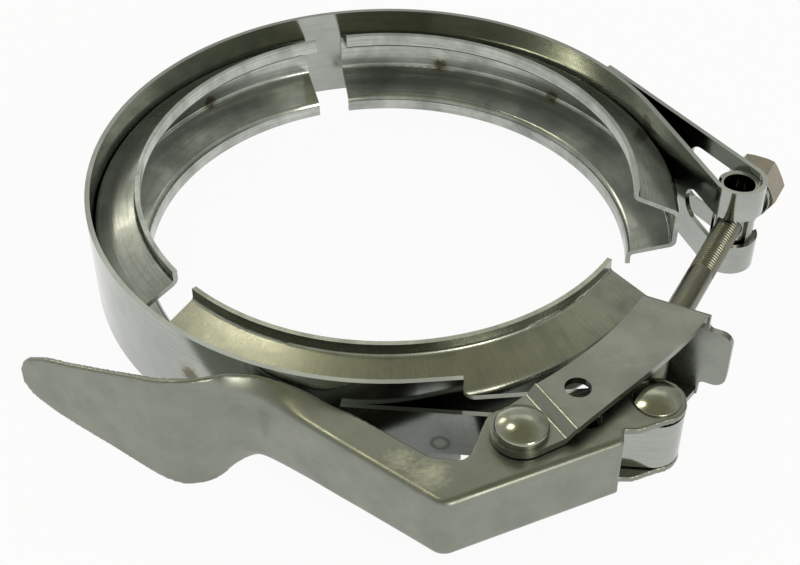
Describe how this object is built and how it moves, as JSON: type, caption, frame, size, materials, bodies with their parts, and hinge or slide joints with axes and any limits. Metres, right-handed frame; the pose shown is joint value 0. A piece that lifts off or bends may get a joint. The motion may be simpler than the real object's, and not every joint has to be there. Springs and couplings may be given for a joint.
{
  "type": "quick-release band clamp",
  "caption": "Round V-profile clamp with a steel band, pressed retainer segments, T-bolt and over-centre lever latch.",
  "frame": {"origin": "centre of the ring, half way up the band", "axes": "+Z along the ring's axis, -Y towards the lever, +X towards the T-bolt's trunnion"},
  "size_m": [0.1835, 0.1768, 0.0333],
  "materials": {
    "band": "bright rolled stainless strip",
    "retainer_left": "pressed stainless, lightly scuffed",
    "retainer_back": "pressed stainless, lightly scuffed",
    "retainer_front": "pressed stainless, brushed across the upper flank",
    "trunnion": "turned steel tube",
    "saddle": "bright steel",
    "seat_washer": "bright steel",
    "nut": "bright steel, faint brown tint",
    "t_bolt": "rolled steel shank",
    "link": "pressed stainless, satin",
    "link_rivet": "polished head",
    "lever": "pressed stainless, tumbled",
    "lever_pivot_pin": "polished head"
  },
  "bodies": {
    "ring_body": {"band": "band", "retainer_left": "retainer_left", "retainer_back": "retainer_back", "retainer_front": "retainer_front"},
    "lever_body": {"lever": "lever", "lever_pivot_pin": "lever_pivot_pin"},
    "link_body": {"link": "link", "link_rivet": "link_rivet"},
    "bolt_body": {"t_bolt": "t_bolt"},
    "trunnion_body": {"trunnion": "trunnion", "saddle": "saddle", "seat_washer": "seat_washer"},
    "nut_body": {"nut": "nut"}
  },
  "joints": [
    {"name": "lever_fold", "type": "hinge", "parent": "ring_body", "child": "lever_body", "pos_m": [0.0575, -0.0742, 0], "axis": [0, 0, 1], "range_deg": [0, 85]},
    {"name": "link_swing", "type": "hinge", "parent": "lever_body", "child": "link_body", "pos_m": [0.0281, -0.0848, 0], "axis": [0, 0, 1], "range_deg": [-87.91, 0]},
    {"name": "bolt_swing", "type": "hinge", "parent": "link_body", "child": "bolt_body", "pos_m": [0.06061, -0.05204, 0], "axis": [0, 0, 1], "range_deg": [0, 41.98]},
    {"name": "trunnion_swivel", "type": "hinge", "parent": "ring_body", "child": "trunnion_body", "pos_m": [0.0865, -0.004, 0], "axis": [0, 0, 1], "range_deg": [0, 39.07]},
    {"name": "nut_spin", "type": "hinge", "parent": "trunnion_body", "child": "nut_body", "pos_m": [0.0865, -0.004, 0], "axis": [0.4743, 0.8803, 0], "continuous": true}
  ],
  "couplings": [
    {"joint": "link_swing", "follows": "lever_fold", "ratio": -1.0342},
    {"joint": "bolt_swing", "follows": "lever_fold", "ratio": 0.4938},
    {"joint": "trunnion_swivel", "follows": "lever_fold", "ratio": 0.4596}
  ]
}
